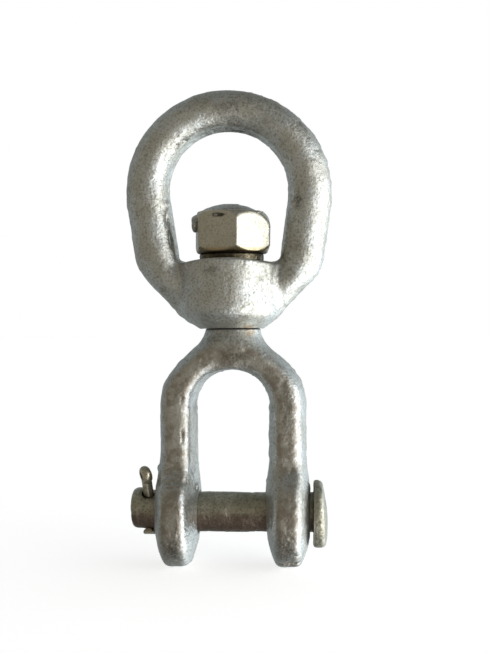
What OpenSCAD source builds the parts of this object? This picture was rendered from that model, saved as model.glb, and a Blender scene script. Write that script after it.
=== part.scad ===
// Jaw-and-eye anchor swivel for 10 mm (3/8 in) chain.
// A forged eye turns on the shank of a forged jaw. The shank carries a thrust
// washer and a hex nut, and its end is peened into a domed head over the nut.
// A clevis pin held by a split pin crosses the jaw.
//
// Frame: the origin is where the swivel axis meets the clevis pin's axis.
// +Z runs up the swivel axis towards the eye, and +X runs along the clevis pin
// towards its head. All sizes are in millimetres.

/* [Eye] */
// Outside width of the bow
eye_w = 50.7; // [49.5:0.1:52]
// Diameter of the bow's round section
bow_d = 10.9; // [10.4:0.1:11.4]
// Thickness trimmed off the inside of the bow, which leaves a flat land
bow_trim = 0.45; // [0.2:0.05:0.8]
// Height of the bow's centre above the clevis pin
bow_z = 78.3; // [77:0.1:80]
// Lean of each side of the bow, in degrees from vertical
bow_taper = 8.7; // [7:0.1:10]
// Height of the bend where each side turns in towards the boss
knuckle_z = 63.4; // [62.8:0.1:64.2]
// Diameter of the boss that turns on the shank
boss_d = 25.2; // [24.4:0.1:26]
// Height of the boss's underside
boss_bottom_z = 45.3; // [45.2:0.1:46]
// Height of the boss's top face, which the thrust washer bears on
boss_top_z = 60.9; // [60.4:0.1:61.2]
// Diameter of the boss's bore
eye_bore_d = 12.0; // [11.9:0.1:12.4]

/* [Jaw] */
// Clear width between the legs
throat_w = 17.7; // [17.2:0.1:18.4]
// Thickness of each leg, seen from the front
leg_t = 8.8; // [8.2:0.1:9.4]
// Depth of the legs and the crown, front to back
leg_depth = 16; // [15:0.1:17]
// Width of the flat land on the legs' front and back
land_w = 4.4; // [3.6:0.1:5.2]
// Height of the centre of the crown's bend
crown_z = 26.1; // [25:0.1:27]
// Radius of the round ears
ear_r = 13.4; // [13:0.1:14]
// Thickness of the ears at the clevis pin
ear_t = 11; // [10.4:0.1:11.4]
// Gap between the ears at the clevis pin
ear_gap = 16.3; // [15.8:0.1:16.8]
// How far below the clevis pin the ears are trimmed flat
ear_trim = 13.1; // [12.6:0.1:13.3]

/* [Shank and head] */
// Diameter of the shank that the eye turns on
shank_d = 11.1; // [10.8:0.1:11.3]
// Diameter of the jaw's neck, just below the boss
neck_d = 13.8; // [13.4:0.1:14.2]
// Diameter of the peened head over the nut
head_d = 16.2; // [15:0.1:16.6]
// Height of the peened head
head_h = 2.8; // [2.2:0.1:3.4]

/* [Nut and washer] */
// Width across the nut's flats
nut_af = 17.5; // [17:0.1:18]
// Height of the nut
nut_h = 9.4; // [8.8:0.1:10]
// Turn of the nut about the shank, in degrees
nut_turn = 40; // [0:1:59]
// Outside diameter of the thrust washer
washer_d = 15.6; // [15:0.1:17]
// Thickness of the thrust washer
washer_t = 2.45; // [2:0.05:2.8]

/* [Clevis pin] */
// Diameter of the clevis pin
pin_d = 9.7; // [9.5:0.1:9.8]
// Diameter of the pin's holes in the ears
ear_bore_d = 10.5; // [10.1:0.1:10.6]
// Distance from the swivel axis to the pin's plain end
pin_end_x = 24.9; // [24.2:0.1:26]
// Gap between the pin's head and the ear beside it
pin_head_gap = 0.6; // [0.3:0.1:1.4]
// Diameter of the pin's head
pin_head_d = 16.6; // [16:0.1:17.2]
// Thickness of the head's rim
pin_head_t = 2.5; // [2.2:0.1:3]
// Rise of the head's dome above its rim
pin_dome_h = 1.1; // [0.8:0.1:1.8]

/* [Split pin] */
// Diameter of the split pin's shank, with both legs together
split_d = 2.5; // [2.2:0.1:2.6]
// Diameter of the split pin's hole
split_bore_d = 3.0; // [2.8:0.1:3.1]
// Height of the split pin's ring above the clevis pin's axis
ring_z = 10.1; // [9.6:0.1:10.4]
// Outside diameter of the split pin's ring
ring_d = 4.4; // [4.2:0.1:4.8]
// How far each leg is wrapped round the clevis pin, in degrees
leg_wrap = 60; // [40:1:75]
// Turn of the clevis pin, in degrees, which tips the split pin's ring forwards
split_tip = 27; // [0:1:45]

/* [Hidden] */
$fn = 96;

seat_gap = 0.05;       // gap between the faces that bear on each other
fit_gap = 0.02;        // gap round the nut's thread and under the peened head
through = 60;          // longer than any cut that goes right through
zinc = [0.66, 0.68, 0.68];
dull_zinc = [0.52, 0.50, 0.46];
rusty = [0.40, 0.29, 0.18];
bright_wire = [0.70, 0.68, 0.62];

// Eye
bow_r = eye_w / 2 - bow_d / 2;
bow_flat_r = bow_r - bow_d / 2 + bow_trim;
bow_end_z = bow_z - bow_r * sin(bow_taper);
limb_l = (bow_end_z - knuckle_z) / cos(bow_taper);
knuckle_x = bow_r * cos(bow_taper) - limb_l * sin(bow_taper);
arm_foot_x = 8.8;
arm_foot_z = 53.1;
arm_foot_d = 12;
arm_run = knuckle_x - arm_foot_x;
arm_drop = knuckle_z - arm_foot_z;
arm_l = sqrt(arm_run * arm_run + arm_drop * arm_drop);
arm_lean = atan2(arm_run, arm_drop);
floor_w = 24.6;        // width of the opening's floor
floor_cut_h = 5.5;
boss_top_chamfer = 0.9;
boss_foot_r = 7.7;
boss_cone_r = 10.5;
boss_cone_z = boss_bottom_z + 1.6;
boss_side_z = boss_bottom_z + 3.6;
mouth_d = 14.9;
mouth_h = (mouth_d - eye_bore_d) / 2;

// Jaw
leg_mid_r = throat_w / 2 + leg_t / 2;
side_h = 5.6;          // height of the legs' straight sides, across the parting line
leg_foot_z = 7;
ear_x = (ear_gap + ear_t) / 2;
ear_flat_r = 6.9;
ear_rim_w = 4.6;
neck_top_z = boss_bottom_z - 0.1;
shank_foot_z = neck_top_z + (neck_d - shank_d) / 2;
neck_waist_z = 43.9;
flare = [[13.2, 38], [11.45, 39.5], [9.85, 40.9], [8.2, 42.4]];
flare_foot_z = 33;

// Stack on the shank
washer_z = boss_top_z + seat_gap;
washer_bore_d = shank_d + 0.6;
nut_z = washer_z + washer_t + seat_gap;
nut_top_z = nut_z + nut_h;
nut_bore_d = shank_d + 2 * fit_gap;
nut_corner_r = nut_af / 2 / cos(30);
nut_face_r = nut_af / 2 * 0.95;
nut_chamfer_h = (nut_corner_r - nut_face_r) * tan(30);
head_z = nut_top_z + fit_gap;
head_ball_r = (head_d * head_d / 4 + head_h * head_h) / (2 * head_h);

// Clevis pin
pin_head_x = ear_gap / 2 + ear_t + pin_head_gap;
pin_l = pin_end_x + pin_head_x;
pin_chamfer = 1;
rim_round = 0.6;
dome_ball_r = (pow(pin_head_d / 2 - rim_round, 2) + pow(pin_dome_h, 2)) / (2 * pin_dome_h);

// Split pin
split_gap_to_ear = 0.45;
split_x = -(ear_gap / 2 + ear_t + split_gap_to_ear + split_d / 2);
ring_in_r = ring_d / 2 - split_d / 2;
slit_w = 0.1;
leg_gap = 0.1;         // gap between the wrapped legs and the clevis pin
leg_r = pin_d / 2 + leg_gap + split_d / 2;
leg_groove = 0.9;      // side of the square groove between the legs' two bends

// Flat-sided round section of the bow, with its centre at radius bow_r.
module bow_section() {
    difference() {
        translate([bow_r, 0]) circle(d = bow_d);
        translate([bow_flat_r - bow_d, -bow_d]) square([bow_d, 2 * bow_d]);
    }
}

// The bow's arc over the top, ending where its sides begin to lean in.
module bow_arc() {
    translate([0, 0, bow_z])
        rotate([90, 0, 0])
            rotate([0, 0, -bow_taper])
                rotate_extrude(angle = 180 + 2 * bow_taper) bow_section();
}

// One side of the bow: a leaning limb, the knuckle below it and the arm into
// the boss. turn is 0 for the +X side and 180 for the other.
module bow_side(turn) {
    rotate([0, 0, turn]) {
        translate([0, 0, bow_z])
            rotate([0, bow_taper, 0])
                translate([0, 0, -limb_l])
                    linear_extrude(height = limb_l) bow_section();
        translate([knuckle_x, 0, knuckle_z]) sphere(d = bow_d);
        translate([knuckle_x, 0, knuckle_z])
            rotate([0, 180 + arm_lean, 0])
                cylinder(h = arm_l, d1 = bow_d, d2 = arm_foot_d);
    }
}

module boss() {
    rotate_extrude()
        polygon([
            [0, boss_bottom_z],
            [boss_foot_r, boss_bottom_z],
            [boss_cone_r, boss_cone_z],
            [boss_d / 2, boss_side_z],
            [boss_d / 2, boss_top_z - boss_top_chamfer],
            [boss_d / 2 - boss_top_chamfer, boss_top_z],
            [0, boss_top_z]
        ]);
}

module swivel_eye() {
    color(zinc)
        difference() {
            union() {
                bow_arc();
                bow_side(0);
                bow_side(180);
                boss();
            }
            translate([-floor_w / 2, -through / 2, boss_top_z])
                cube([floor_w, through, floor_cut_h]);
            translate([0, 0, boss_bottom_z - 1])
                cylinder(h = boss_top_z - boss_bottom_z + 2, d = eye_bore_d);
            translate([0, 0, boss_bottom_z - 0.5])
                cylinder(
                    h = mouth_h + 0.5,
                    d1 = mouth_d + 1,
                    d2 = eye_bore_d
                );
        }
}

// Eight-sided section of the legs and crown, with its centre at radius
// leg_mid_r: flat lands front and back, drafted corners and straight sides.
module leg_section() {
    translate([leg_mid_r, 0])
        polygon([
            [leg_t / 2, side_h / 2],
            [land_w / 2, leg_depth / 2],
            [-land_w / 2, leg_depth / 2],
            [-leg_t / 2, side_h / 2],
            [-leg_t / 2, -side_h / 2],
            [-land_w / 2, -leg_depth / 2],
            [land_w / 2, -leg_depth / 2],
            [leg_t / 2, -side_h / 2]
        ]);
}

module crown() {
    translate([0, 0, crown_z])
        rotate([90, 0, 0])
            rotate_extrude(angle = 180) leg_section();
}

// One leg and its round ear, which is thickest round the clevis pin.
module leg(turn) {
    rotate([0, 0, turn]) {
        translate([0, 0, leg_foot_z])
            linear_extrude(height = crown_z - leg_foot_z) leg_section();
        translate([ear_x, 0, 0])
            rotate([0, 90, 0])
                rotate_extrude()
                    polygon([
                        [0, -ear_t / 2],
                        [ear_flat_r, -ear_t / 2],
                        [ear_r, -ear_rim_w / 2],
                        [ear_r, ear_rim_w / 2],
                        [ear_flat_r, ear_t / 2],
                        [0, ear_t / 2]
                    ]);
    }
}

// Flare from the crown up to the neck. It is as deep as the legs.
module neck() {
    intersection() {
        rotate_extrude()
            polygon(concat(
                [[0, flare_foot_z], [flare[0][0], flare_foot_z]],
                flare,
                [
                    [neck_d / 2, neck_waist_z],
                    [neck_d / 2, neck_top_z],
                    [shank_d / 2, shank_foot_z],
                    [0, shank_foot_z]
                ]
            ));
        translate([-through / 2, -leg_depth / 2, 0])
            cube([through, leg_depth, 2 * through]);
        crown_room();
    }
}

// Everything above the throat's arch, so that the flare stays out of it.
module crown_room() {
    difference() {
        translate([-through / 2, -through / 2, 0]) cube([through, through, 2 * through]);
        translate([0, through / 2, crown_z])
            rotate([90, 0, 0])
                cylinder(h = through, d = throat_w + leg_t);
    }
}

module shank() {
    translate([0, 0, shank_foot_z])
        cylinder(h = head_z - shank_foot_z, d = shank_d);
}

// The shank's end, peened into a shallow dome that locks the nut.
module peened_head() {
    intersection() {
        translate([0, 0, head_z + head_h - head_ball_r]) sphere(r = head_ball_r);
        translate([0, 0, head_z]) cylinder(h = 2 * head_h, d = head_d + 2);
    }
}

module swivel_jaw() {
    color(zinc)
        difference() {
            union() {
                crown();
                leg(0);
                leg(180);
                neck();
                shank();
                peened_head();
            }
            rotate([0, 90, 0])
                cylinder(h = through, d = ear_bore_d, center = true);
            translate([-through / 2, -through / 2, -ear_trim - through])
                cube([through, through, through]);
        }
}

module shank_nut() {
    color(dull_zinc)
        translate([0, 0, nut_z])
            rotate([0, 0, nut_turn])
                difference() {
                    intersection() {
                        cylinder(h = nut_h, r = nut_corner_r, $fn = 6);
                        rotate_extrude()
                            polygon([
                                [0, 0],
                                [nut_face_r, 0],
                                [nut_corner_r, nut_chamfer_h],
                                [nut_corner_r, nut_h - nut_chamfer_h],
                                [nut_face_r, nut_h],
                                [0, nut_h]
                            ]);
                    }
                    translate([0, 0, -1])
                        cylinder(h = nut_h + 2, d = nut_bore_d);
                }
}

module thrust_washer() {
    color(rusty)
        translate([0, 0, washer_z])
            difference() {
                cylinder(h = washer_t, d = washer_d);
                translate([0, 0, -1])
                    cylinder(h = washer_t + 2, d = washer_bore_d);
            }
}

// Clevis pin, drawn along X from its plain end to the top of its domed head.
module clevis_pin() {
    color(dull_zinc)
        difference() {
            translate([-pin_end_x, 0, 0])
                rotate([0, 90, 0]) {
                    rotate_extrude()
                        polygon([
                            [0, 0],
                            [pin_d / 2 - pin_chamfer, 0],
                            [pin_d / 2, pin_chamfer],
                            [pin_d / 2, pin_l],
                            [pin_head_d / 2 - rim_round, pin_l],
                            [pin_head_d / 2, pin_l + rim_round],
                            [pin_head_d / 2, pin_l + pin_head_t - rim_round],
                            [pin_head_d / 2 - rim_round, pin_l + pin_head_t],
                            [0, pin_l + pin_head_t]
                        ]);
                    pin_dome();
                }
            translate([split_x, 0, 0])
                rotate([split_tip, 0, 0])
                    cylinder(h = 2 * pin_d, d = split_bore_d, center = true);
        }
}

module pin_dome() {
    dome_foot = pin_l + pin_head_t;
    intersection() {
        translate([0, 0, dome_foot + pin_dome_h - dome_ball_r]) sphere(r = dome_ball_r);
        translate([0, 0, dome_foot]) cylinder(h = 2 * pin_dome_h, d = pin_head_d);
    }
}

// Half-round section of the split pin's wire. The centre of its round side is
// from away from the axis it is turned about, and its flat faces outwards.
module wire_section(from) {
    intersection() {
        translate([from, 0]) circle(d = split_d);
        translate([from - split_d, -split_d]) square([split_d, 2 * split_d]);
    }
}

// Ring at the top of the split pin, with the wire's flat side inwards.
module split_ring() {
    translate([0, 0, ring_z])
        rotate([0, 90, 0])
            rotate_extrude()
                intersection() {
                    translate([ring_in_r, 0]) circle(d = split_d);
                    translate([ring_in_r, -split_d]) square([split_d, 2 * split_d]);
                }
}

// The shank of both legs, down to where they bend.
module split_shank() {
    intersection() {
        translate([0, 0, -leg_r])
            cylinder(h = leg_r + ring_z - ring_in_r, d = split_d);
        union() {
            rotate([0, 90, 0])
                cylinder(h = 2 * split_d, r = leg_r - 0.02, center = true);
            translate([-split_d, -split_d, 0]) cube([2 * split_d, 2 * split_d, ring_z]);
        }
    }
}

// The ends of both legs, which hug the clevis pin from below.
module wrapped_legs() {
    rotate([0, 90, 0])
        rotate([0, 0, -leg_wrap])
            rotate_extrude(angle = 2 * leg_wrap) wire_section(leg_r);
}

// The folded wire: its two legs lie together in the clevis pin's hole, with a
// narrow slit between them that runs up into the ring.
module split_pin() {
    color(bright_wire)
        translate([split_x, 0, 0])
            rotate([split_tip, 0, 0])
                difference() {
                    union() {
                        split_ring();
                        split_shank();
                        wrapped_legs();
                    }
                    translate([-split_d, -slit_w / 2, -2 * leg_r])
                        cube([2 * split_d, slit_w, 2 * leg_r + ring_z]);
                    translate([0, 0, -leg_r])
                        rotate([45, 0, 0])
                            cube([2 * split_d, leg_groove, leg_groove], center = true);
                    translate([-split_d, 0, ring_z])
                        rotate([0, 90, 0])
                            cylinder(h = 2 * split_d, r = ring_in_r);
                }
}

swivel_eye();
swivel_jaw();
shank_nut();
thrust_washer();
clevis_pin();
split_pin();
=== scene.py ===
"""Anchor swivel: the looks of a galvanised jaw-and-eye swivel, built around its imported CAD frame.

Each piece is a distance field in millimetres, negative inside the metal, in the CAD's own axes. The field
holds the rounded edges and fillets of a forging, and the lumps and nicks of its zinc. Its zero surface
becomes a quad mesh, which seeded noise then roughens. The piece rides on the CAD body it stands for.
"""

import math

import bpy
import numpy as np
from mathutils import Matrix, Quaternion, Vector


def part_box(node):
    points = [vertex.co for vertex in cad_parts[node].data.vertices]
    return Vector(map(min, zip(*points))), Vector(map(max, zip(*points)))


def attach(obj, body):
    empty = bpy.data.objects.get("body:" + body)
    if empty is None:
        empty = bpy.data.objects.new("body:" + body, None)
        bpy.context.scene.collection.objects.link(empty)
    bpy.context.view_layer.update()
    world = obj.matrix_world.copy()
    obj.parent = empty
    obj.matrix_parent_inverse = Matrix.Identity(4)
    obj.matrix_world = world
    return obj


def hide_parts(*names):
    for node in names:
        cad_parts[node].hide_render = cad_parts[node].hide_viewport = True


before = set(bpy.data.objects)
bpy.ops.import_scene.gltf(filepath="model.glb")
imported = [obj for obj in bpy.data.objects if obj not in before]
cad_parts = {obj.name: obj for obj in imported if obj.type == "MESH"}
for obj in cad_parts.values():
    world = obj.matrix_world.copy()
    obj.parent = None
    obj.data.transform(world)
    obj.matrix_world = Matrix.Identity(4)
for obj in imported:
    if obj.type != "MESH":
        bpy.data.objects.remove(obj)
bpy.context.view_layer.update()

MM = 0.001  # metres in a millimetre


def box_mm(node):
    """A CAD node's lowest and highest corners in millimetres."""
    low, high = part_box(node)
    return np.array(low) / MM, np.array(high) / MM


# ---------------------------------------------------------------- sizes, in millimetres

eye_low, eye_high = box_mm("swivel_eye")
jaw_low, jaw_high = box_mm("swivel_jaw")
nut_low, nut_high = box_mm("shank_nut")
washer_low, washer_high = box_mm("thrust_washer")
pin_low, pin_high = box_mm("clevis_pin")
split_low, split_high = box_mm("split_pin")

DIAGONAL = math.radians(45)
FIT = 0.02  # between the shank and what is locked on it
GAP = 0.05  # between faces that bear on each other

BOW_OUTER_R = eye_high[0]
BOW_TOP = eye_high[2]
BOW_DEPTH = 5.45  # half the bow's size, front to back
BOW_INNER_R = 14.9
BOW_TOP_T = 9.7  # thickness of the bow over the top
BOW_TRIM = 0.45  # trimmed off the bow's inside, which leaves a flat land
BOW_TRIM_TAPER = 0.15  # the land leans, so that the opening is larger at the front
BOW_LEAN = math.radians(8.7)  # how far the bow's sides lean in towards the boss
BOSS_R = eye_high[1]
BOSS_LOW = eye_low[2]
BOSS_TOP = washer_low[2] - GAP
SHOULDER_X = 9.19  # half the eye's width where its shoulders would reach the boss's lower face
SHOULDER_SLOPE = math.radians(44.3)
BOSS_CONE_R = 8.59  # the boss narrows downwards to this radius at its lower face
BOSS_CONE = math.radians(48.6)  # how far down that cone looks
FOOT_R = 7.61  # and a blunter cone trims its lower edge, and the shoulders' too
FOOT_CONE = math.radians(61.9)
FOOT_SAG = 0.35  # the foot hangs a little lower under the bow's sides
SEAT_R = 8.2  # flat seat of the washer, which the boss's rim stands round
RIM_H = 0.3
RIM_BULGE = 0.75  # the rim stands this much higher at the front and the back
RIM_HALF_W = 10.5  # and comes down to RIM_H this far to the sides
BORE_R = 6.0
MOUTH_R = 7.25  # the bore's lower end is countersunk to this radius
EYE_SHIFT = -0.5  # the bow isn't quite central over its bore
EYE_LEAN = -0.009  # and leans, per millimetre above the boss

THROAT_R = 8.85
LEG_T = 9.1
CROWN_Z = 26.1
LEG_DEPTH = 8.0  # half the legs' size, front to back
LEG_SIDE_H = 3.2  # half the straight part of the legs' sides
LEG_DRAFT = math.radians(20)  # how far the rest of their sides leans in
FORK_APEX_Z = 49.12  # where the fork's two slanting shoulders would meet
FORK_SLOPE = math.radians(47.95)
FORK_SHIFT = 0.2  # the legs stand a little to one side of the ears
SHIFT_FROM = (6, 14)  # heights over which that comes in, and goes out again
SHIFT_TO = (33, 42)
EAR_R = jaw_high[1]
EAR_TRIM = jaw_low[2]
EAR_OUT = 19.15  # the ears' outer and inner faces, from the middle
EAR_IN = 8.15
EAR_FLAT_R = 6.9  # the ears are flat out to here, and thin down beyond
EAR_TAPER = math.radians(23.1)
EAR_HOLE_R = 5.25
CORE_Z = 36.0  # a height inside the crown, where the neck and the shank are rooted
NECK_R = 6.7
NECK_SHIFT = 0.3  # the neck was forged a little off its axis
NECK_TOP = BOSS_LOW - 2 * GAP
SHANK_R = 5.55
SHANK_LEAN = 0.012  # how far the forged shank leans towards +X, per millimetre of height
SHANK_LEAN_Z = 45.0

NUT_TURN = math.radians(40)
NUT_HALF_AF = 8.75
NUT_FACE_R = 8.4  # radius of the nut's lower face, inside its chamfer
NUT_TOP = nut_high[2] + 0.75  # the head is beaten thin, and the nut's faces run up to its rim
NUT_CROWN = (-0.6, -0.5, nut_high[2] - 7.2)
NUT_CROWN_R = 11.5  # the nut's upper corners are beaten down onto a ball of this centre and radius
HEAD_TOP = jaw_high[2]
HEAD_LOW = NUT_TOP + FIT
HEAD_R = 8.7
HEAD_BALL_R = 14.5
HEAD_SHIFT = -0.8  # the dome was beaten a little off centre
WASHER_HOLE_R = 5.85

PIN_R = 4.85
PIN_BENDS = ((0.32, 8, 19), (0.5, 19, 23))  # each bend's rise, and its start and end along the plain end
PIN_HEAD_R = pin_high[1]
PIN_HEAD_IN = 19.75
PIN_HEAD_T = 2.5
PIN_HEAD_DROP = 0.3  # the head sits low on the shaft
PIN_HEAD_WEDGE = 0.05  # and is thicker at its lower edge, per millimetre of height

SPLIT_X = (split_low[0] + split_high[0]) / 2
SPLIT_TIP = math.radians(27)  # the clevis pin is turned, which tips the ring forwards
SPLIT_SHIFT = 0.2  # the split pin stands to one side in its hole
SPLIT_HOLE_R = 1.5
WIRE_R = 1.25
SLIT = 0.06  # half the gap between the wire's two legs
RING_R = 2.2
RING_Z = 10.3
RING_TWIST = math.radians(-30)  # the wire is twisted under its ring
RING_LEAN = 0.04  # and leans out from the ear, per millimetre above LEAN_Z
LEAN_Z = 4.0
WRAP_R = 6.2  # the wrapped legs' flat outer side, from the clevis pin's axis
WRAP_TURN = math.radians(42)  # how far each leg goes round the clevis pin past its elbow
ELBOW_R = 1.55
ELBOW_TURN = math.asin(ELBOW_R / (WRAP_R - ELBOW_R))
ELBOW_Z = -(WRAP_R - ELBOW_R) * math.cos(ELBOW_TURN)


# ---------------------------------------------------------------- distance fields

def length(*parts):
    return np.sqrt(sum(p * p for p in parts))


def fade(value, low, high):
    """0 below low, 1 above high, and smooth between them."""
    t = np.clip((value - low) / (high - low), 0, 1)
    return t * t * (3 - 2 * t)


def join(a, b, blend):
    """Union of two fields with a fillet about blend wide."""
    h = np.clip(0.5 + 0.5 * (b - a) / blend, 0, 1)
    return b + (a - b) * h - blend * h * (1 - h)


def cut(a, b, blend):
    """What two fields share, with the edge between them rounded."""
    return -join(-a, -b, blend)


def drill(a, b, blend):
    """The first field with the second taken out of it."""
    return -join(-a, b, blend)


def slab(value, low, high, blend=0.1):
    """The layer between two levels of a coordinate."""
    return cut(low - value, value - high, blend)


def slant(across, up, angle):
    """Distance outside a face through the origin that looks outwards and up by angle."""
    return across * math.cos(angle) + up * math.sin(angle)


def blob(x, y, z, centre, radii):
    """A rough ellipsoid, for a lump of zinc or the tool that cuts a nick."""
    reach = length((x - centre[0]) / radii[0], (y - centre[1]) / radii[1], (z - centre[2]) / radii[2])
    return (reach - 1) * min(radii)


def ring_and_sides(x, z, centre, radius, lean):
    """Distance outside a half circle that stands on two sides which lean in by the angle lean."""
    across, up = np.abs(x), z - centre
    side = slant(across, -up, lean) - radius
    above = slant(up, across, lean) > 0
    return np.where(above, length(across, up) - radius, side)


# ---------------------------------------------------------------- swivel eye

# Centre and radii of each lump of zinc on the eye, and of each nick in it.
EYE_LUMPS = (
    ((16.2, -3.4, 74.6), (0.8, 1.0, 1.3)),
    ((-14.9, -1.5, 75.4), (0.6, 1.2, 0.9)),
    ((-13.9, -1.0, 64.0), (0.6, 1.4, 1.2)),
)
EYE_NICKS = (
    ((16.6, -5.4, 75.6), (0.6, 0.7, 1.6)),
    ((-14.9, -3.6, 72.4), (0.5, 0.9, 1.7)),
    ((-13.7, -3.2, 67.6), (0.5, 1.0, 2.2)),
    ((-9.6, -3.2, 90.8), (1.2, 0.8, 0.6)),
    ((-5.2, 6.2, 97.8), (1.8, 1.2, 0.8)),
)


def bow_outer(x, z):
    """Distance outside the eye's outline: the bow, and the shoulders that slant in to the boss."""
    outline = ring_and_sides(x, z, BOW_TOP - BOW_OUTER_R, BOW_OUTER_R, BOW_LEAN)
    shoulder = slant(np.abs(x) - SHOULDER_X, BOSS_LOW - z, SHOULDER_SLOPE)
    return cut(outline, shoulder, 2.6)


def bow_inner(x, z):
    """Distance inside the eye's opening: positive where the opening is."""
    opening = ring_and_sides(x, z, BOW_TOP - BOW_TOP_T - BOW_INNER_R, BOW_INNER_R, BOW_LEAN)
    return -cut(opening, BOSS_TOP - z, 2.4)


def boss_field(x, y, z):
    """The boss: a drum that narrows downwards, with a low rim round the washer's seat."""
    r = length(x, y)
    boss = cut(r - BOSS_R, slant(r - BOSS_CONE_R, BOSS_LOW - z, BOSS_CONE), 1.5)
    rim = RIM_H + RIM_BULGE * np.maximum(1 - (x / RIM_HALF_W) ** 2, 0)
    return cut(boss, z - BOSS_TOP - rim * fade(r, SEAT_R, SEAT_R + 1.4), 1.0)


def eye_field(x, y, z):
    """The whole eye. The bow's section is an ellipse as thick as the bow is there, and BOW_DEPTH deep."""
    r = length(x, y)
    x = x - EYE_SHIFT - EYE_LEAN * (z - BOSS_TOP)
    outer = bow_outer(x, z)
    inner = bow_inner(x, z)
    middle = (outer - inner + BOW_TRIM) / 2
    half = -(outer + inner - BOW_TRIM) / 2
    bow = length(middle, y * half / BOW_DEPTH) - half
    bow = cut(bow, inner - BOW_TRIM_TAPER * y * fade(z, BOSS_TOP, BOSS_TOP + 5), 0.3)
    body = join(bow, boss_field(x, y, z), 1.3)
    sag = FOOT_SAG * x * x / (r * r + 1)
    body = cut(body, slant(r - FOOT_R, BOSS_LOW - z - sag, FOOT_CONE), 1.2)
    for centre, radii in EYE_LUMPS:
        body = join(body, blob(x, y, z, centre, radii), 0.8)
    for centre, radii in EYE_NICKS:
        body = drill(body, blob(x, y, z, centre, radii), 0.5)
    body = drill(body, cut(r - BORE_R, z - BOSS_TOP - 2, 0.1), 0.4)
    return drill(body, slant(r - MOUTH_R, z - BOSS_LOW, DIAGONAL), 0.3)


# ---------------------------------------------------------------- swivel jaw

JAW_LUMPS = (
    ((-18.2, -1.0, 10.9), (0.45, 0.7, 0.6)),
    ((-8.5, -4.2, 6.8), (0.6, 0.9, 0.9)),
    ((17.2, 3.0, 20.0), (0.8, 1.4, 2.0)),
)
JAW_NICKS = (
    ((-11.5, -8.2, 19.6), (0.3, 0.5, 1.2)),
    ((-11.6, -8.3, 28.2), (0.3, 0.5, 0.7)),
    ((14.6, -9.2, -11.0), (3.4, 2.6, 0.4)),
    ((19.2, -6.5, -11.6), (1.9, 4.5, 2.2)),
    ((12.0, -8.6, 3.0), (0.6, 0.8, 1.2)),
    ((-13.0, 8.6, 16.0), (0.7, 0.9, 1.5)),
)
HEAD_LUMPS = (
    ((-9.0, -2.0, 70.4), (0.8, 1.5, 1.7)),
    ((-7.4, -2.4, 71.9), (2.3, 3.2, 1.2)),
    ((6.6, -4.6, 73.2), (1.4, 1.4, 0.4)),
    ((1.8, 6.3, 73.5), (2.2, 1.2, 0.5)),
)


def fork_field(x, y, z):
    """The legs and the crown: a section with flat lands front and back and drafted corners."""
    across, deep = np.abs(x), np.abs(y)
    reach = np.where(z > CROWN_Z, length(x, z - CROWN_Z), across + 0 * z)
    outer = cut(reach - THROAT_R - LEG_T, slant(across, z - FORK_APEX_Z, FORK_SLOPE), 2.0)
    side = np.maximum(outer, THROAT_R - reach)
    fork = cut(side, slant(side, deep - LEG_SIDE_H, LEG_DRAFT), 1.2)
    fork = cut(fork, deep - LEG_DEPTH, 1.9)
    return cut(fork, -z, 0.5)


def ear_field(x, y, z):
    """The round ears, thickest round the clevis pin."""
    half = (EAR_OUT - EAR_IN) / 2
    off = np.abs(np.abs(x) - EAR_IN - half) - half
    reach = length(y, z)
    ear = cut(off, slant(off, reach - EAR_FLAT_R, EAR_TAPER), 2.0)
    return cut(ear, reach - EAR_R, 1.5)


def peened_head(x, y, z):
    """The shank's end, beaten out over the nut into a shallow, ragged dome."""
    cap = length(x - HEAD_SHIFT, y, z - HEAD_TOP + HEAD_BALL_R) - HEAD_BALL_R
    cap = cut(cap, length(x, y) - HEAD_R, 0.8)
    head = cut(cap, HEAD_LOW - z, 0.15)
    for centre, radii in HEAD_LUMPS:
        head = join(head, blob(x, y, z, centre, radii), 0.7)
    return head


def jaw_field(x, y, z):
    """The whole jaw, with the shank that its neck carries up through the eye and the nut."""
    shifted = x - FORK_SHIFT * fade(z, *SHIFT_FROM) * (1 - fade(z, *SHIFT_TO))
    body = join(fork_field(shifted, y, z), ear_field(x, y, z), 2.2)
    neck = length(x - NECK_SHIFT, y) - NECK_R
    body = join(body, cut(neck, slab(z, CORE_Z, NECK_TOP), 0.5), 3.0)
    body = cut(body, z - NECK_TOP, 0.12)
    arch = cut(length(shifted, z - CROWN_Z) - THROAT_R, CROWN_Z - z, 1.5)
    body = drill(body, arch, 1.0)
    for centre, radii in JAW_LUMPS:
        body = join(body, blob(x, y, z, centre, radii), 0.8)
    for centre, radii in JAW_NICKS:
        body = drill(body, blob(x, y, z, centre, radii), 0.5)
    upright = x - SHANK_LEAN * np.maximum(z - SHANK_LEAN_Z, 0)
    shank = cut(length(upright, y) - SHANK_R, slab(z, CORE_Z, HEAD_LOW + 0.5), 0.1)
    body = np.minimum(join(body, shank, 0.6), peened_head(upright, y, z))
    body = cut(body, EAR_TRIM - z, 0.9)
    return drill(body, length(y, z) - EAR_HOLE_R, 0.5)


# ---------------------------------------------------------------- nut and washer

NUT_NICK = ((-2.75, -8.4, 72.35), (1.5, 1.0, 0.34))


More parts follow.
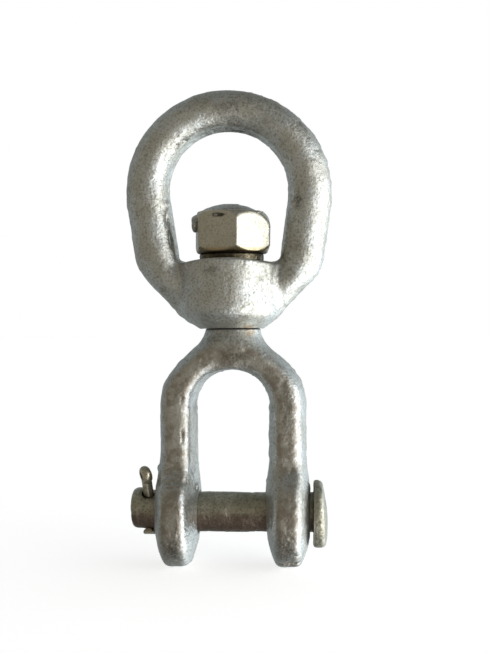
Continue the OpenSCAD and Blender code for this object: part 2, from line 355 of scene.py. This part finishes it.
def nut_field(x, y, z):
    """The hexagon, chamfered below and beaten round above, with a nick in its front face."""
    x = x - SHANK_LEAN * (z - SHANK_LEAN_Z)
    across = [
        np.abs(x * math.cos(turn) + y * math.sin(turn)) - NUT_HALF_AF
        for turn in (NUT_TURN + math.radians(30 + 60 * i) for i in range(3))
    ]
    body = cut(cut(across[0], across[1], 0.35), across[2], 0.35)
    r = length(x, y)
    body = cut(body, slab(z, nut_low[2], NUT_TOP), 0.3)
    body = cut(body, slant(r - NUT_FACE_R, nut_low[2] - z, DIAGONAL), 0.35)
    crown = length(x - NUT_CROWN[0], y - NUT_CROWN[1], z - NUT_CROWN[2]) - NUT_CROWN_R
    body = cut(body, crown, 0.4)
    body = drill(body, blob(x, y, z, *NUT_NICK), 0.15)
    return cut(body, SHANK_R + FIT - r, 0.1)


def washer_field(x, y, z):
    r = length(x, y)
    body = cut(r - washer_high[0], slab(z, washer_low[2], washer_high[2]), 0.5)
    return cut(body, WASHER_HOLE_R - r, 0.2)


# ---------------------------------------------------------------- clevis pin and split pin

def pin_head_field(x, y, z):
    """The domed head, beaten thicker towards its lower edge."""
    up = z + PIN_HEAD_DROP
    r = length(y, up)
    out = x + PIN_HEAD_WEDGE * (z + 3)
    rim = PIN_HEAD_IN + PIN_HEAD_T
    rise = pin_high[0] - rim
    ball = ((PIN_HEAD_R - 0.6) ** 2 + rise ** 2) / (2 * rise)
    disc = cut(r - PIN_HEAD_R + 0.15, PIN_HEAD_IN - x, 0.8)
    disc = cut(disc, out - rim, 1.1)
    dome = cut(length(out - pin_high[0] + ball, y, up) - ball, rim - 1 - x, 0.1)
    return join(disc, cut(dome, r - PIN_HEAD_R + 0.9, 0.4), 0.8)


def pin_bend(x):
    """How far the clevis pin's plain end is bent up."""
    return sum(rise * fade(-x, start, end) for rise, start, end in PIN_BENDS)


def tipped(y, z):
    """y and z in the axes of the split pin, whose own z runs up its legs."""
    z = z - pin_bend(SPLIT_X)
    tilt = math.cos(SPLIT_TIP), math.sin(SPLIT_TIP)
    return y * tilt[0] + z * tilt[1], z * tilt[0] - y * tilt[1]


def pin_field(x, y, z):
    """The shaft and its head, with the split pin's hole through the plain end."""
    hole = length(x - SPLIT_X, tipped(y, z)[0])
    z = z - pin_bend(x)
    shaft = cut(length(y, z) - PIN_R, slab(x, pin_low[0], PIN_HEAD_IN + 1), 1.8)
    body = join(shaft, pin_head_field(x, y, z), 0.5)
    return cut(body, SPLIT_HOLE_R - hole, 0.4)


def split_field(x, y, z):
    """Half-round wire: the ring, the two legs down through the pin, and their ends wrapped round it."""
    y, z = tipped(y, z)
    across = x - SPLIT_X - SPLIT_SHIFT + RING_LEAN * np.maximum(z - LEAN_Z, 0)
    out = np.abs(y)
    hole = RING_R - WIRE_R
    turn = RING_TWIST * fade(z, RING_Z - 4, RING_Z - 1)
    wide = across * np.cos(turn) - y * np.sin(turn)
    deep = across * np.sin(turn) + y * np.cos(turn)
    reach = length(deep, z - RING_Z)
    ring = cut(length(np.maximum(reach - hole, 0), wide) - WIRE_R, hole - reach, 0.15)
    elbow = length(np.maximum(ELBOW_R - out, 0), np.maximum(ELBOW_Z - z, 0)) - ELBOW_R
    turned, from_pin = np.arctan2(out, -z), length(out, z)
    wrapped = (turned > ELBOW_TURN) & (z < 0) & (from_pin > WRAP_R - ELBOW_R)
    bend = np.where(wrapped, from_pin - WRAP_R, elbow)
    legs = cut(length(across, bend) - WIRE_R, bend + SLIT, 0.1)
    ends = WRAP_R * (turned - ELBOW_TURN - WRAP_TURN)
    legs = cut(legs, cut(np.where(wrapped, ends, -1.0), z - RING_Z + hole, 0.1), 0.25)
    slit = SLIT - np.abs(deep) - np.maximum(z - RING_Z, 0)
    return join(cut(ring, slit, 0.05), legs, 0.12)


# ---------------------------------------------------------------- meshes

ROOM = 1.2  # millimetres of grid left round a piece's CAD box, for what stands proud of it
CORNERS = [(i, j, k) for i in (0, 1) for j in (0, 1) for k in (0, 1)]


def crossings(values, cells):
    """In grid cells, the mean place where the surface crosses each cell's edges."""
    spot, hits = np.zeros((len(cells), 3)), np.zeros(len(cells))
    for start in CORNERS:
        for axis in range(3):
            if start[axis]:
                continue
            end = list(start)
            end[axis] = 1
            a = values[tuple((cells + start).T)]
            b = values[tuple((cells + end).T)]
            crossed = (a < 0) != (b < 0)
            place = np.array(start, float) * np.ones((len(cells), 1))
            place[:, axis] = np.where(crossed, a / np.where(crossed, a - b, 1), 0)
            spot += np.where(crossed[:, None], place, 0)
            hits += crossed
    return cells + spot / hits[:, None]


def quads_across(inside, number, axis):
    """One quad round each grid edge along axis that the surface crosses, facing out of the metal."""
    u, v = (axis + 1) % 3, (axis + 2) % 3
    ends = [slice(None)] * 3
    ends[axis] = slice(0, -1)
    start = inside[tuple(ends)]
    ends[axis] = slice(1, None)
    edges = np.argwhere(start != inside[tuple(ends)])
    edges = edges[(edges[:, u] > 0) & (edges[:, v] > 0)]
    corners = []
    for du, dv in ((1, 1), (0, 1), (0, 0), (1, 0)):
        cell = edges.copy()
        cell[:, u] -= du
        cell[:, v] -= dv
        corners.append(number[tuple(cell.T)])
    quads = np.array(corners).T
    entering = ~start[tuple(edges.T)]
    quads[entering] = quads[entering][:, ::-1]
    return quads


def largest_part(points, quads):
    """The largest connected part of a mesh, without stray specks."""
    label = np.arange(len(points))
    while True:
        lowest = label.copy()
        np.minimum.at(lowest, quads.ravel(), np.repeat(label[quads].min(axis=1), 4))
        lowest = lowest[lowest]
        if (lowest == label).all():
            break
        label = lowest
    keep = label == np.bincount(label).argmax()
    number = np.cumsum(keep) - 1
    return points[keep], number[quads[keep[quads[:, 0]]]]


def slope_of(field, points, reach):
    """A field's value and slope at some points."""
    x, y, z = points.T
    slope = np.stack([
        field(x + reach, y, z) - field(x - reach, y, z),
        field(x, y + reach, z) - field(x, y - reach, z),
        field(x, y, z + reach) - field(x, y, z - reach),
    ], 1) / (2 * reach)
    return field(x, y, z), slope


def surface(field, low, high, step):
    """Points and quads of a field's zero surface, by surface nets: one point in each grid cell that the
    surface crosses, then pulled onto the surface along the field's slope."""
    low = np.array(low) - ROOM
    count = np.ceil((np.array(high) + ROOM - low) / step).astype(int) + 1
    grid = np.ix_(*[low[i] + step * np.arange(count[i]) for i in range(3)])
    values = np.asarray(field(*grid), dtype=np.float32) + np.zeros(count, np.float32)
    inside = values < 0
    size = count - 1
    total = np.zeros(size, np.int8)
    for i, j, k in CORNERS:
        total += inside[i:i + size[0], j:j + size[1], k:k + size[2]]
    cells = np.argwhere((total > 0) & (total < 8))
    number = np.full(size, -1, np.int64)
    number[tuple(cells.T)] = np.arange(len(cells))
    points = low + step * crossings(values, cells)
    quads = np.concatenate([quads_across(inside, number, axis) for axis in range(3)])
    points, quads = largest_part(points, quads)
    for _ in range(3):
        value, slope = slope_of(field, points, step * 0.2)
        pull = value / np.maximum((slope ** 2).sum(1), 0.2)
        points = points - np.clip(pull, -step, step)[:, None] * slope
    return points, quads


class Noise:
    """Smooth noise from a seeded lattice, from -1 to 1, that repeats after SIZE cells."""

    SIZE = 32

    def __init__(self, seed):
        self.values = np.random.default_rng(seed).uniform(-1, 1, (self.SIZE,) * 3)

    def at(self, points, scale):
        """The noise at some points, with lumps about scale across."""
        place = points / scale
        base = np.floor(place).astype(int)
        part = place - base
        part = part * part * part * (part * (part * 6 - 15) + 10)
        total = np.zeros(len(points))
        for corner in CORNERS:
            weight = np.prod(np.where(corner, part, 1 - part), axis=1)
            total += weight * self.values[tuple(((base + corner) % self.SIZE).T)]
        return total


def forged_skin(seed, broad, middle, fine, pits, flash=0.0):
    """Height in millimetres of a forged and dipped skin: three sizes of unevenness, ragged pits, and the
    ragged line that the trimmed flash leaves all round."""
    layers = [Noise(seed + i) for i in range(6)]

    def height(points):
        uneven = broad * layers[0].at(points, 8.0) + middle * layers[1].at(points, 2.9)
        grain = fine * layers[2].at(points, 0.85)
        ragged = layers[3].at(points, 2.1) + 0.7 * layers[4].at(points, 0.8)
        line = flash * layers[5].at(points, 1.3) * np.exp(-points[:, 1] ** 2)
        return uneven + grain + line - pits * fade(ragged, 0.55, 1.0)

    return height


def build(name, node, body, field, box, step, skin=None, calm=None):
    """Makes a piece from its field. skin gives the height of its roughness, and calm fades it to nothing
    where the piece bears on another."""
    points, quads = surface(field, *box, step)
    _, slope = slope_of(field, points, 0.1)
    normal = slope / np.linalg.norm(slope, axis=1)[:, None]
    relief = skin(points) if skin else np.zeros(len(points))
    if calm:
        relief = relief * calm(*points.T)
    points = points + normal * relief[:, None]
    mesh = bpy.data.meshes.new(name)
    mesh.from_pydata((points * MM).tolist(), [], quads.tolist())
    mesh.polygons.foreach_set("use_smooth", np.ones(len(quads), bool))
    mesh.attributes.new("relief", "FLOAT", "POINT").data.foreach_set("value", relief)
    mesh.update()
    piece = bpy.data.objects.new(name, mesh)
    bpy.context.scene.collection.objects.link(piece)
    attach(piece, body)
    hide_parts(node)
    return piece


# ---------------------------------------------------------------- materials

class Tree:
    """Adds shader nodes to a material's or a world's node tree."""

    def __init__(self, tree):
        self.tree = tree
        self.coordinates = self.add("TexCoord").outputs

    def add(self, kind, inputs=None, **settings):
        """A node of a kind, with its settings, and its inputs fed by values or by other nodes' outputs."""
        made = self.tree.nodes.new("ShaderNode" + kind)
        for name, value in settings.items():
            setattr(made, name, value)
        for key, value in (inputs or {}).items():
            if isinstance(value, bpy.types.NodeSocket):
                self.tree.links.new(value, made.inputs[key])
            else:
                made.inputs[key].default_value = value
        return made

    def math(self, operation, a, b=0.0):
        return self.add("Math", {0: a, 1: b}, operation=operation).outputs[0]

    def spread(self, value, low, high):
        """0 where value is below low, 1 above high, and smooth between them."""
        inputs = {"Value": value, "From Min": low, "From Max": high}
        return self.add("MapRange", inputs, interpolation_type="SMOOTHSTEP").outputs[0]

    def blend(self, amount, a, b):
        """From colour a to colour b as amount goes from 0 to 1."""
        colours = [(*c, 1) if isinstance(c, tuple) else c for c in (a, b)]
        return self.add("Mix", {0: amount, 6: colours[0], 7: colours[1]}, data_type="RGBA").outputs[2]

    def parts(self, vector):
        return self.add("SeparateXYZ", {0: vector}).outputs

    def noise(self, size, detail=2.0, stretch=(1, 1, 1), shift=0.0):
        """Noise with features about size millimetres across, drawn out along the axes by stretch."""
        inputs = {"Vector": self.coordinates["Object"], "Location": (shift, shift, shift)}
        inputs["Scale"] = [1 / s for s in stretch]
        place = self.add("Mapping", inputs).outputs[0]
        return self.add("TexNoise", {"Vector": place, "Scale": 1 / (size * MM), "Detail": detail}).outputs[0]


def metal(name, light, shade, dirt, rough, grain, marks=None):
    """A worn zinc or steel finish. light and shade are its two base colours, dirt fills its pits, rough is
    its roughness, and grain is how strong its fine bump is. marks paints what only this piece has on it."""
    material = bpy.data.materials.new(name)
    material.use_nodes = True
    tree = Tree(material.node_tree)
    relief = tree.add("Attribute", attribute_name="relief").outputs["Fac"]
    patches = tree.spread(tree.noise(6.0, 4.0), 0.38, 0.62)
    mottle = tree.spread(tree.noise(1.4, 5.0, shift=0.31), 0.36, 0.66)
    fine = tree.noise(0.5, 4.0, shift=0.57)
    specks = tree.spread(tree.noise(0.6, 5.0, shift=0.83), 0.58, 0.70)
    colour = tree.blend(patches, light, shade)
    colour = tree.blend(tree.math("MULTIPLY", mottle, 0.5), colour, shade)
    colour = tree.blend(tree.math("MULTIPLY", tree.spread(fine, 0.46, 0.68), 0.5), colour, dirt)
    colour = tree.blend(tree.math("MULTIPLY", specks, 0.35), colour, dirt)
    colour = tree.blend(tree.math("MULTIPLY", tree.spread(relief, -0.04, -0.2), 0.4), colour, dirt)
    if marks:
        colour = marks(tree, colour)
    rougher = tree.math("ADD", tree.math("MULTIPLY", mottle, 0.14), tree.math("MULTIPLY", specks, 0.15))
    uneven = tree.math("ADD", rougher, rough - 0.04)
    height = tree.math("ADD", fine, tree.noise(1.3, 2.0, shift=0.19))
    bump = tree.add("Bump", {"Height": height, "Strength": grain, "Distance": 0.12 * MM})
    shader = tree.tree.nodes["Principled BSDF"]
    shader.inputs["Metallic"].default_value = 0.9
    tree.tree.links.new(colour, shader.inputs["Base Color"])
    tree.tree.links.new(uneven, shader.inputs["Roughness"])
    tree.tree.links.new(bump.outputs[0], shader.inputs["Normal"])
    return material


def stain(tree, colour, centre, radii, tint, amount):
    """A ragged, mottled patch of another colour round a point given in millimetres."""
    inputs = {"Vector": tree.coordinates["Object"], "Location": [-c / r for c, r in zip(centre, radii)]}
    inputs["Scale"] = [1 / (r * MM) for r in radii]
    place = tree.add("Mapping", inputs).outputs[0]
    reach = tree.add("VectorMath", {0: place}, operation="LENGTH").outputs["Value"]
    ragged = tree.math("ADD", reach, tree.math("MULTIPLY", tree.noise(1.1, 4.0, shift=0.4), 1.2))
    mottled = tree.spread(tree.noise(0.55, 3.0, shift=0.9), 0.28, 0.6)
    depth = tree.math("MULTIPLY", tree.spread(ragged, 1.7, 0.8), mottled)
    return tree.blend(tree.math("MULTIPLY", depth, amount), colour, tint)


def eye_marks(tree, colour):
    """Grime on the bow's top, painted shade under the top of the bow and round the boss's lower face over the
    neck, and rust round the mouth of the bore.
    """
    grime_and_shade, rust = (0.10, 0.09, 0.065), (0.34, 0.22, 0.10)
    for centre, radii, amount in (
        ((0.0, -5.4, 98.6), (4.5, 3.0, 2.2), 0.55),
        ((16.6, -5.0, 76.0), (1.4, 2.0, 3.0), 0.8),
        ((-14.4, -3.4, 70.0), (1.2, 2.0, 5.5), 0.85),
        ((-24.6, -2.0, 78.0), (1.2, 3.0, 3.0), 0.5),
        ((-4.0, -12.4, 59.0), (3.0, 2.0, 1.6), 0.5),
        # painted shade round the boss's lower face, where it overhangs the neck
        ((0.0, 0.0, 45.2), (8.3, 8.3, 0.9), 0.6),
        # painted shade under the top of the bow, on its downward-facing inside
        ((0.0, 0.0, 93.3), (13.0, 6.5, 2.0), 0.9),
    ):
        colour = stain(tree, colour, centre, radii, grime_and_shade, amount)
    return stain(tree, colour, (4.5, -6.5, 45.6), (2.2, 2.0, 0.8), rust, 0.7)


def jaw_marks(tree, colour):
    """The lands are worn brown and mottled; rust and painted shade sit at the neck, and painted shade under
    the head's rim.
    """
    facing = tree.math("ABSOLUTE", tree.parts(tree.coordinates["Normal"])[1])
    height = tree.parts(tree.coordinates["Object"])[2]
    worn = tree.math("MULTIPLY", tree.spread(facing, 0.72, 0.96), tree.spread(height, 42.5 * MM, 39 * MM))
    ears = tree.math("MULTIPLY", worn, tree.spread(height, 12 * MM, 2 * MM))
    blotches = tree.spread(tree.noise(1.9, 4.0, shift=0.71), 0.42, 0.6)
    blotches = tree.math("MULTIPLY", worn, blotches)
    colour = tree.blend(tree.math("MULTIPLY", worn, 0.5), colour, (0.46, 0.42, 0.35))
    colour = tree.blend(tree.math("MULTIPLY", blotches, 0.6), colour, (0.23, 0.19, 0.155))
    colour = tree.blend(tree.math("MULTIPLY", ears, 0.35), colour, (0.25, 0.21, 0.17))
    grime_and_shade, rust = (0.11, 0.10, 0.075), (0.40, 0.26, 0.12)
    for centre, radii, amount in (
        ((1.5, -8.2, 38.4), (5.0, 2.5, 2.6), 0.6),
        ((14.6, -7.6, -11.0), (3.0, 2.0, 0.7), 0.9),
        ((13.8, -8.2, 27.0), (2.6, 2.0, 7.0), 0.5),
        ((13.5, -10.2, -5.5), (3.0, 4.0, 6.5), 0.85),
        ((-13.5, -10.2, -6.5), (3.0, 4.0, 5.0), 0.8),
        ((-11.7, -8.2, 19.8), (0.7, 1.0, 2.4), 0.8),
        ((-11.8, -8.2, 28.4), (0.8, 1.0, 1.2), 0.8),
        # painted shade under the head's rim, where it overhangs the nut
        ((0.0, -8.0, 73.9), (9.0, 3.0, 0.6), 0.4),
        # painted shade on the neck's top, under the boss
        ((0.0, 0.0, 44.6), (7.8, 7.8, 0.9), 0.7),
        # these two darken the ears' inner faces round the clevis pin
        ((-9.0, 0.0, 0.0), (1.6, 6.8, 6.8), 0.5),
        ((9.0, 0.0, 0.0), (1.6, 6.8, 6.8), 0.5),
    ):
        colour = stain(tree, colour, centre, radii, grime_and_shade, amount)
    return stain(tree, colour, (4.9, -5.4, 44.4), (1.7, 2.5, 1.5), rust, 0.7)


def nut_marks(tree, colour):
    """A brassy line and painted shade round the nut's lower chamfer, and a painted shadow in its nick."""
    height = tree.parts(tree.coordinates["Object"])[2]
    line = tree.spread(height, (nut_low[2] + 1.5) * MM, (nut_low[2] + 0.9) * MM)
    colour = tree.blend(tree.math("MULTIPLY", line, 0.6), colour, (0.42, 0.30, 0.12))
    # painted shade along the foot of the chamfer, over the washer
    foot = tree.spread(height, (nut_low[2] + 0.7) * MM, (nut_low[2] + 0.2) * MM)
    colour = tree.blend(tree.math("MULTIPLY", foot, 0.8), colour, (0.07, 0.055, 0.035))
    # a nearly black painted shadow in the nick under the head's rim
    return stain(tree, colour, NUT_NICK[0], (2.6, 2.5, 0.75), (0.03, 0.025, 0.02), 1.0)


def pin_marks(tree, colour):
    """Olive zinc above, red rust showing through below, and a painted shadow round the split pin's hole."""
    along, _, height = tree.parts(tree.coordinates["Object"])
    ragged = tree.math("ADD", height, tree.math("MULTIPLY", tree.noise(1.6, 5.0, (3, 1, 1)), 4 * MM))
    lower = tree.spread(ragged, 3.6 * MM, 0.9 * MM)
    inside = tree.math("LESS_THAN", along, PIN_HEAD_IN * MM)
    lower = tree.math("MULTIPLY", lower, inside)
    colour = tree.blend(tree.math("MULTIPLY", lower, 0.85), colour, (0.125, 0.08, 0.06))
    # a nearly black painted shadow round the split pin's hole
    return stain(tree, colour, (SPLIT_X, -2.6, 4.4), (2.2, 1.9, 1.9), (0.03, 0.03, 0.025), 0.95)


# ---------------------------------------------------------------- pieces

STEP = 0.32
FINE = 0.22
WIRE = 0.085


def calm_eye(x, y, z):
    """The eye is smooth round its bore, where it turns on the shank and bears on the washer."""
    beyond = fade(length(x, y), 8.0, 10.5)
    return beyond + (1 - beyond) * fade(z, 63, 66)


def calm_jaw(x, y, z):
    """The jaw is smooth along its shank, on its neck's shoulder and in the clevis pin's holes."""
    shank = (1 - fade(length(x, y), 7.2, 8.4)) * fade(z, 43.6, 44.6) * (1 - fade(z, HEAD_LOW, HEAD_LOW + 0.5))
    hole = 1 - fade(length(y, z), 5.6, 6.6)
    return (1 - shank) * (1 - hole)


def calm_nut(x, y, z):
    """The nut is smooth inside, and on the face that bears on the washer."""
    return fade(length(x, y), 6.5, 7.6) * fade(z, nut_low[2] + 0.1, nut_low[2] + 0.7)


def calm_washer(x, y, z):
    """The washer is rough only round its rim."""
    return fade(length(x, y), 7.0, 7.5)


def calm_pin(x, y, z):
    """The clevis pin is smooth in the split pin's hole, and nearly so where it turns in the ears."""
    clear = 1 - fade(np.abs(x), EAR_IN - 1, EAR_IN) * (1 - fade(np.abs(x), EAR_OUT, EAR_OUT + 0.5))
    hole = fade(length(x - SPLIT_X, tipped(y, z)[0]), SPLIT_HOLE_R + 0.2, SPLIT_HOLE_R + 0.7)
    return hole * (0.3 + 0.7 * clear)


eye = build(
    "Eye", "swivel_eye", "eye", eye_field, (eye_low, eye_high), STEP,
    forged_skin(11, 0.12, 0.06, 0.035, 0.09, 0.22), calm_eye,
)
jaw = build(
    "Jaw", "swivel_jaw", "jaw", jaw_field, (jaw_low, jaw_high), STEP,
    forged_skin(21, 0.09, 0.05, 0.04, 0.10, 0.22), calm_jaw,
)
nut = build(
    "Nut", "shank_nut", "jaw", nut_field, (nut_low, nut_high), FINE,
    forged_skin(31, 0.05, 0.02, 0.008, 0.03), calm_nut,
)
washer = build(
    "Washer", "thrust_washer", "washer", washer_field, (washer_low, washer_high), FINE,
    forged_skin(41, 0.15, 0.16, 0.08, 0.15), calm_washer,
)
pin = build(
    "Clevis_pin", "clevis_pin", "pin", pin_field, (pin_low, pin_high), FINE,
    forged_skin(51, 0.13, 0.13, 0.04, 0.08), calm_pin,
)
split = build(
    "Split_pin", "split_pin", "cotter", split_field, (split_low, split_high), WIRE,
    forged_skin(61, 0.03, 0.012, 0.006, 0.02),
)

# For each piece: its material's name, its light and shaded colours, its dirt, its roughness, its grain, and
# the marks that only it has.
FINISHES = (
    (
        eye, "galvanised_forging",
        (0.62, 0.64, 0.63), (0.53, 0.52, 0.475), (0.15, 0.14, 0.11), 0.38, 0.8, eye_marks,
    ),
    (
        jaw, "galvanised_jaw",
        (0.57, 0.59, 0.585), (0.48, 0.475, 0.44), (0.14, 0.125, 0.10), 0.38, 0.8, jaw_marks,
    ),
    (
        nut, "nut_zinc",
        (0.58, 0.555, 0.48), (0.52, 0.495, 0.42), (0.30, 0.27, 0.19), 0.30, 0.2, nut_marks,
    ),
    (
        # the washer's colours are rust, darkened further as painted shade from the nut above it
        washer, "rusty_steel",
        (0.22, 0.19, 0.125), (0.075, 0.06, 0.04), (0.02, 0.018, 0.012), 0.40, 1.0, None,
    ),
    (
        pin, "pin_zinc",
        (0.50, 0.49, 0.41), (0.38, 0.36, 0.28), (0.12, 0.10, 0.07), 0.38, 0.9, pin_marks,
    ),
    (
        split, "wire_steel",
        (0.62, 0.57, 0.45), (0.42, 0.38, 0.28), (0.10, 0.08, 0.05), 0.30, 0.3, None,
    ),
)
for piece, *finish in FINISHES:
    piece.data.materials.append(metal(*finish))


# ---------------------------------------------------------------- stage, light and camera

# Brightness and tint of the studio round the object, by bearing in degrees: 0 is where the camera stands, and
# 90 is to its right, where the window is.
STUDIO = (
    (-180, (0.40, 0.45, 0.47)),
    (-120, (0.31, 0.34, 0.345)),
    (-60, (0.28, 0.255, 0.20)),
    (8, (0.28, 0.255, 0.20)),
    (30, (1.0, 1.0, 0.97)),
    (50, (3.5, 3.6, 3.65)),
    (100, (3.5, 3.65, 3.7)),
    (135, (1.35, 1.5, 1.57)),
    (180, (0.40, 0.45, 0.47)),
)
STUDIO_TILT = math.radians(20)  # how far the window is below the object's level
STUDIO_PEAK = 4.0  # the brightest value a stop may have
STUDIO_TOP = (0.18, 0.185, 0.175)
FLOOR_GLOW = 0.68

CAMERA_YAW = math.radians(4.7)
CAMERA_ROLL = math.radians(-0.4)
CAMERA_AWAY = 250.0
CAMERA_Z = 47.7
AIM_X = 3.2
AIM_Z = 45.6
FRAME_TALL = 160.8  # height of the picture at the object


def add_studio():
    """A white surround that lights the object from the right and leaves its front in soft shade."""
    world = bpy.data.worlds.new("Studio")
    bpy.context.scene.world = world
    world.use_nodes = True
    tree = Tree(world.node_tree)
    inputs = {"Vector": tree.coordinates["Generated"], "Rotation": (0, -STUDIO_TILT, 0)}
    x, y, z = tree.parts(tree.add("Mapping", inputs).outputs[0])
    bearing = tree.math("ARCTAN2", x, tree.math("MULTIPLY", y, -1.0))
    turn = tree.math("MULTIPLY_ADD", bearing, 1 / (2 * math.pi))
    turn.node.inputs[2].default_value = 0.5
    ramp = tree.add("ValToRGB", {0: turn})
    stops = ramp.color_ramp.elements
    for i, (degrees, colour) in enumerate(STUDIO):
        place = degrees / 360 + 0.5
        stop = stops[i] if i < 2 else stops.new(place)
        stop.position = place
        stop.color = (*(part / STUDIO_PEAK for part in colour), 1)
    steep = tree.spread(tree.math("ABSOLUTE", z), 0.35, 0.95)
    light = tree.blend(steep, ramp.outputs[0], tuple(part / STUDIO_PEAK for part in STUDIO_TOP))
    shown = tree.add("LightPath").outputs["Is Camera Ray"]
    background = tree.tree.nodes["Background"]
    white = (1 / STUDIO_PEAK,) * 3
    tree.tree.links.new(tree.blend(shown, light, white), background.inputs["Color"])
    background.inputs["Strength"].default_value = STUDIO_PEAK


def add_floor():
    """A plain pale floor that stays near white in the dim studio."""
    bpy.ops.mesh.primitive_plane_add(size=6, location=(0, 0, (EAR_TRIM - 0.1) * MM))
    floor = bpy.context.object
    floor.name = "Floor"
    material = bpy.data.materials.new("floor")
    material.use_nodes = True
    shader = material.node_tree.nodes["Principled BSDF"]
    shader.inputs["Base Color"].default_value = (0.85, 0.85, 0.85, 1)
    shader.inputs["Roughness"].default_value = 0.9
    shader.inputs["Emission Color"].default_value = (1, 1, 1, 1)
    shader.inputs["Emission Strength"].default_value = FLOOR_GLOW
    floor.data.materials.append(material)
    floor.visible_glossy = False


def add_camera():
    """A camera a little to the right of the object's front, level with its middle."""
    data = bpy.data.cameras.new("Camera")
    camera = bpy.data.objects.new("Camera", data)
    bpy.context.scene.collection.objects.link(camera)
    place = Vector((math.sin(CAMERA_YAW) * CAMERA_AWAY, -math.cos(CAMERA_YAW) * CAMERA_AWAY, CAMERA_Z))
    aim = Vector((AIM_X * math.cos(CAMERA_YAW), AIM_X * math.sin(CAMERA_YAW), AIM_Z))
    look = (aim - place).to_track_quat("-Z", "Y")
    camera.location = place * MM
    camera.rotation_euler = (look @ Quaternion((0, 0, 1), CAMERA_ROLL)).to_euler()
    data.sensor_fit = "VERTICAL"
    data.sensor_height = 36
    data.lens = data.sensor_height * CAMERA_AWAY / FRAME_TALL
    data.clip_start = 0.01
    bpy.context.scene.camera = camera


add_studio()
add_floor()
add_camera()
bpy.context.scene.view_settings.view_transform = "Standard"
